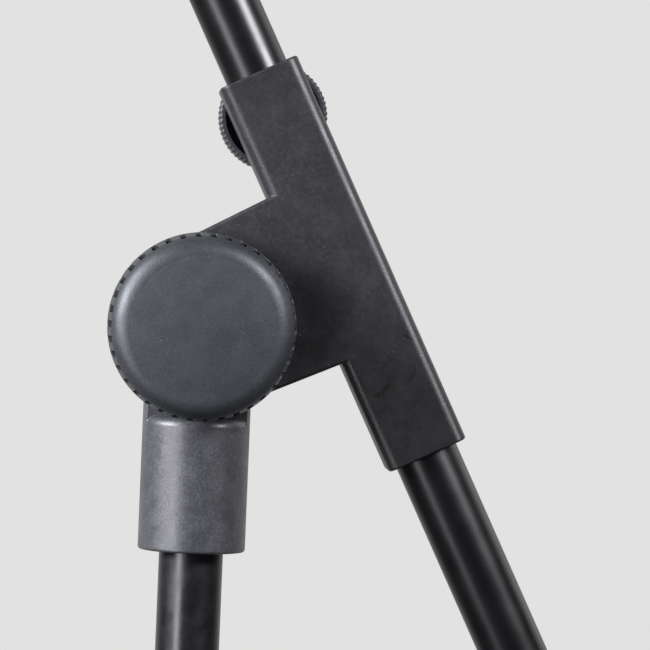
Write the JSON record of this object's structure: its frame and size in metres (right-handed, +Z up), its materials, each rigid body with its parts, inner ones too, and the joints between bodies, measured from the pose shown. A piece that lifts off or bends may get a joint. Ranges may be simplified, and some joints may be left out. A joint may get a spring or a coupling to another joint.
{
  "type": "boom microphone stand",
  "caption": "Folding tripod stand with a telescopic post and a tilt clutch that carries a sliding boom for a microphone.",
  "frame": {"origin": "on the floor, on the axis of the post", "axes": "+Z up along the post; -Y the way the tilt knob faces; +X the side of the post where the boom's sleeve is"},
  "size_m": [0.56, 0.4874, 1.5424],
  "materials": {
    "tube_paint": "gloss black powder coat on steel tube",
    "post_paint": "satin black powder coat on steel tube",
    "socket_paint": "satin grey enamel on a die casting",
    "bracket_plastic": "fine-textured dark grey nylon",
    "knob_plastic": "fine-textured grey nylon",
    "hub_plastic": "fine-textured black nylon",
    "foot_rubber": "matt black rubber",
    "fastener_steel": "zinc-plated steel",
    "insert_brass": "machined brass",
    "bush_nylon": "natural nylon"
  },
  "bodies": {
    "base": {"lower_tube": "tube_paint", "tube_plug": "foot_rubber", "leg_hub": "hub_plastic", "leg_bolt_1": "fastener_steel", "leg_bolt_2": "fastener_steel", "leg_bolt_3": "fastener_steel", "leg_nut_1": "fastener_steel", "leg_nut_2": "fastener_steel", "leg_nut_3": "fastener_steel", "clutch_base": "hub_plastic", "clutch_collet": "bush_nylon"},
    "leg_1": {"leg_knuckle_1": "hub_plastic", "leg_tube_1": "tube_paint", "foot_cap_1": "foot_rubber"},
    "leg_2": {"leg_knuckle_2": "hub_plastic", "leg_tube_2": "tube_paint", "foot_cap_2": "foot_rubber"},
    "leg_3": {"leg_knuckle_3": "hub_plastic", "leg_tube_3": "tube_paint", "foot_cap_3": "foot_rubber"},
    "height_clutch": {"height_grip": "hub_plastic"},
    "riser": {"glide_bush": "bush_nylon"},
    "post": {"upper_tube": "post_paint", "post_insert": "fastener_steel", "swivel_socket": "socket_paint", "pivot_bolt": "fastener_steel"},
    "bracket": {"boom_bracket": "bracket_plastic", "friction_disc": "bush_nylon"},
    "tilt_clamp": {"thrust_washer": "fastener_steel"},
    "tilt_handle": {"tilt_knob": "knob_plastic", "tilt_knob_insert": "insert_brass"},
    "lock_follower": {"lock_pad": "bush_nylon"},
    "boom_lock": {"boom_lock_knob": "knob_plastic", "boom_lock_screw": "fastener_steel"},
    "boom": {"boom_tube": "tube_paint", "tail_cap": "foot_rubber", "mic_end_plug": "fastener_steel", "mic_stud": "fastener_steel"}
  },
  "joints": [
    {"name": "leg_fold_1", "type": "hinge", "parent": "base", "child": "leg_1", "pos_m": [0, 0.03, 0.09623], "axis": [1, 0, 0], "range_deg": [0, 107]},
    {"name": "leg_fold_2", "type": "hinge", "parent": "base", "child": "leg_2", "pos_m": [-0.02598, -0.015, 0.09623], "axis": [-0.5, 0.866, 0], "range_deg": [0, 107]},
    {"name": "leg_fold_3", "type": "hinge", "parent": "base", "child": "leg_3", "pos_m": [0.02598, -0.015, 0.09623], "axis": [-0.5, -0.866, 0], "range_deg": [0, 107]},
    {"name": "grip_turn", "type": "hinge", "parent": "base", "child": "height_clutch", "pos_m": [0, 0, 0.65], "axis": [0, 0, 1], "range_deg": [0, 180]},
    {"name": "height_slide", "type": "slide", "parent": "base", "child": "riser", "axis": [0, 0, 1], "range_m": [-0.085, 0.42]},
    {"name": "post_swivel", "type": "hinge", "parent": "riser", "child": "post", "pos_m": [0, 0, 0.2], "axis": [0, 0, 1], "continuous": true},
    {"name": "boom_tilt", "type": "hinge", "parent": "post", "child": "bracket", "pos_m": [0, -0.014, 1], "axis": [0, -1, 0], "range_deg": [-24, 123.5]},
    {"name": "tilt_knob_travel", "type": "slide", "parent": "post", "child": "tilt_clamp", "axis": [0, -1, 0], "range_m": [0, 0.0025]},
    {"name": "tilt_knob_turn", "type": "hinge", "parent": "tilt_clamp", "child": "tilt_handle", "pos_m": [0, -0.0305, 1], "axis": [0, -1, 0], "range_deg": [0, 720]},
    {"name": "boom_lock_travel", "type": "slide", "parent": "bracket", "child": "lock_follower", "axis": [0, 1, 0], "range_m": [0, 0.002]},
    {"name": "boom_lock_turn", "type": "hinge", "parent": "lock_follower", "child": "boom_lock", "pos_m": [0.01605, 0.005, 1.05283], "axis": [0, 1, 0], "range_deg": [0, 720]},
    {"name": "boom_slide", "type": "slide", "parent": "bracket", "child": "boom", "axis": [-0.4431, 0, 0.8965], "range_m": [-0.1, 0.15]}
  ],
  "couplings": [
    {"joint": "tilt_knob_turn", "follows": "tilt_knob_travel", "rad_per_m": 5026.5},
    {"joint": "boom_lock_turn", "follows": "boom_lock_travel", "rad_per_m": 6283.2}
  ]
}
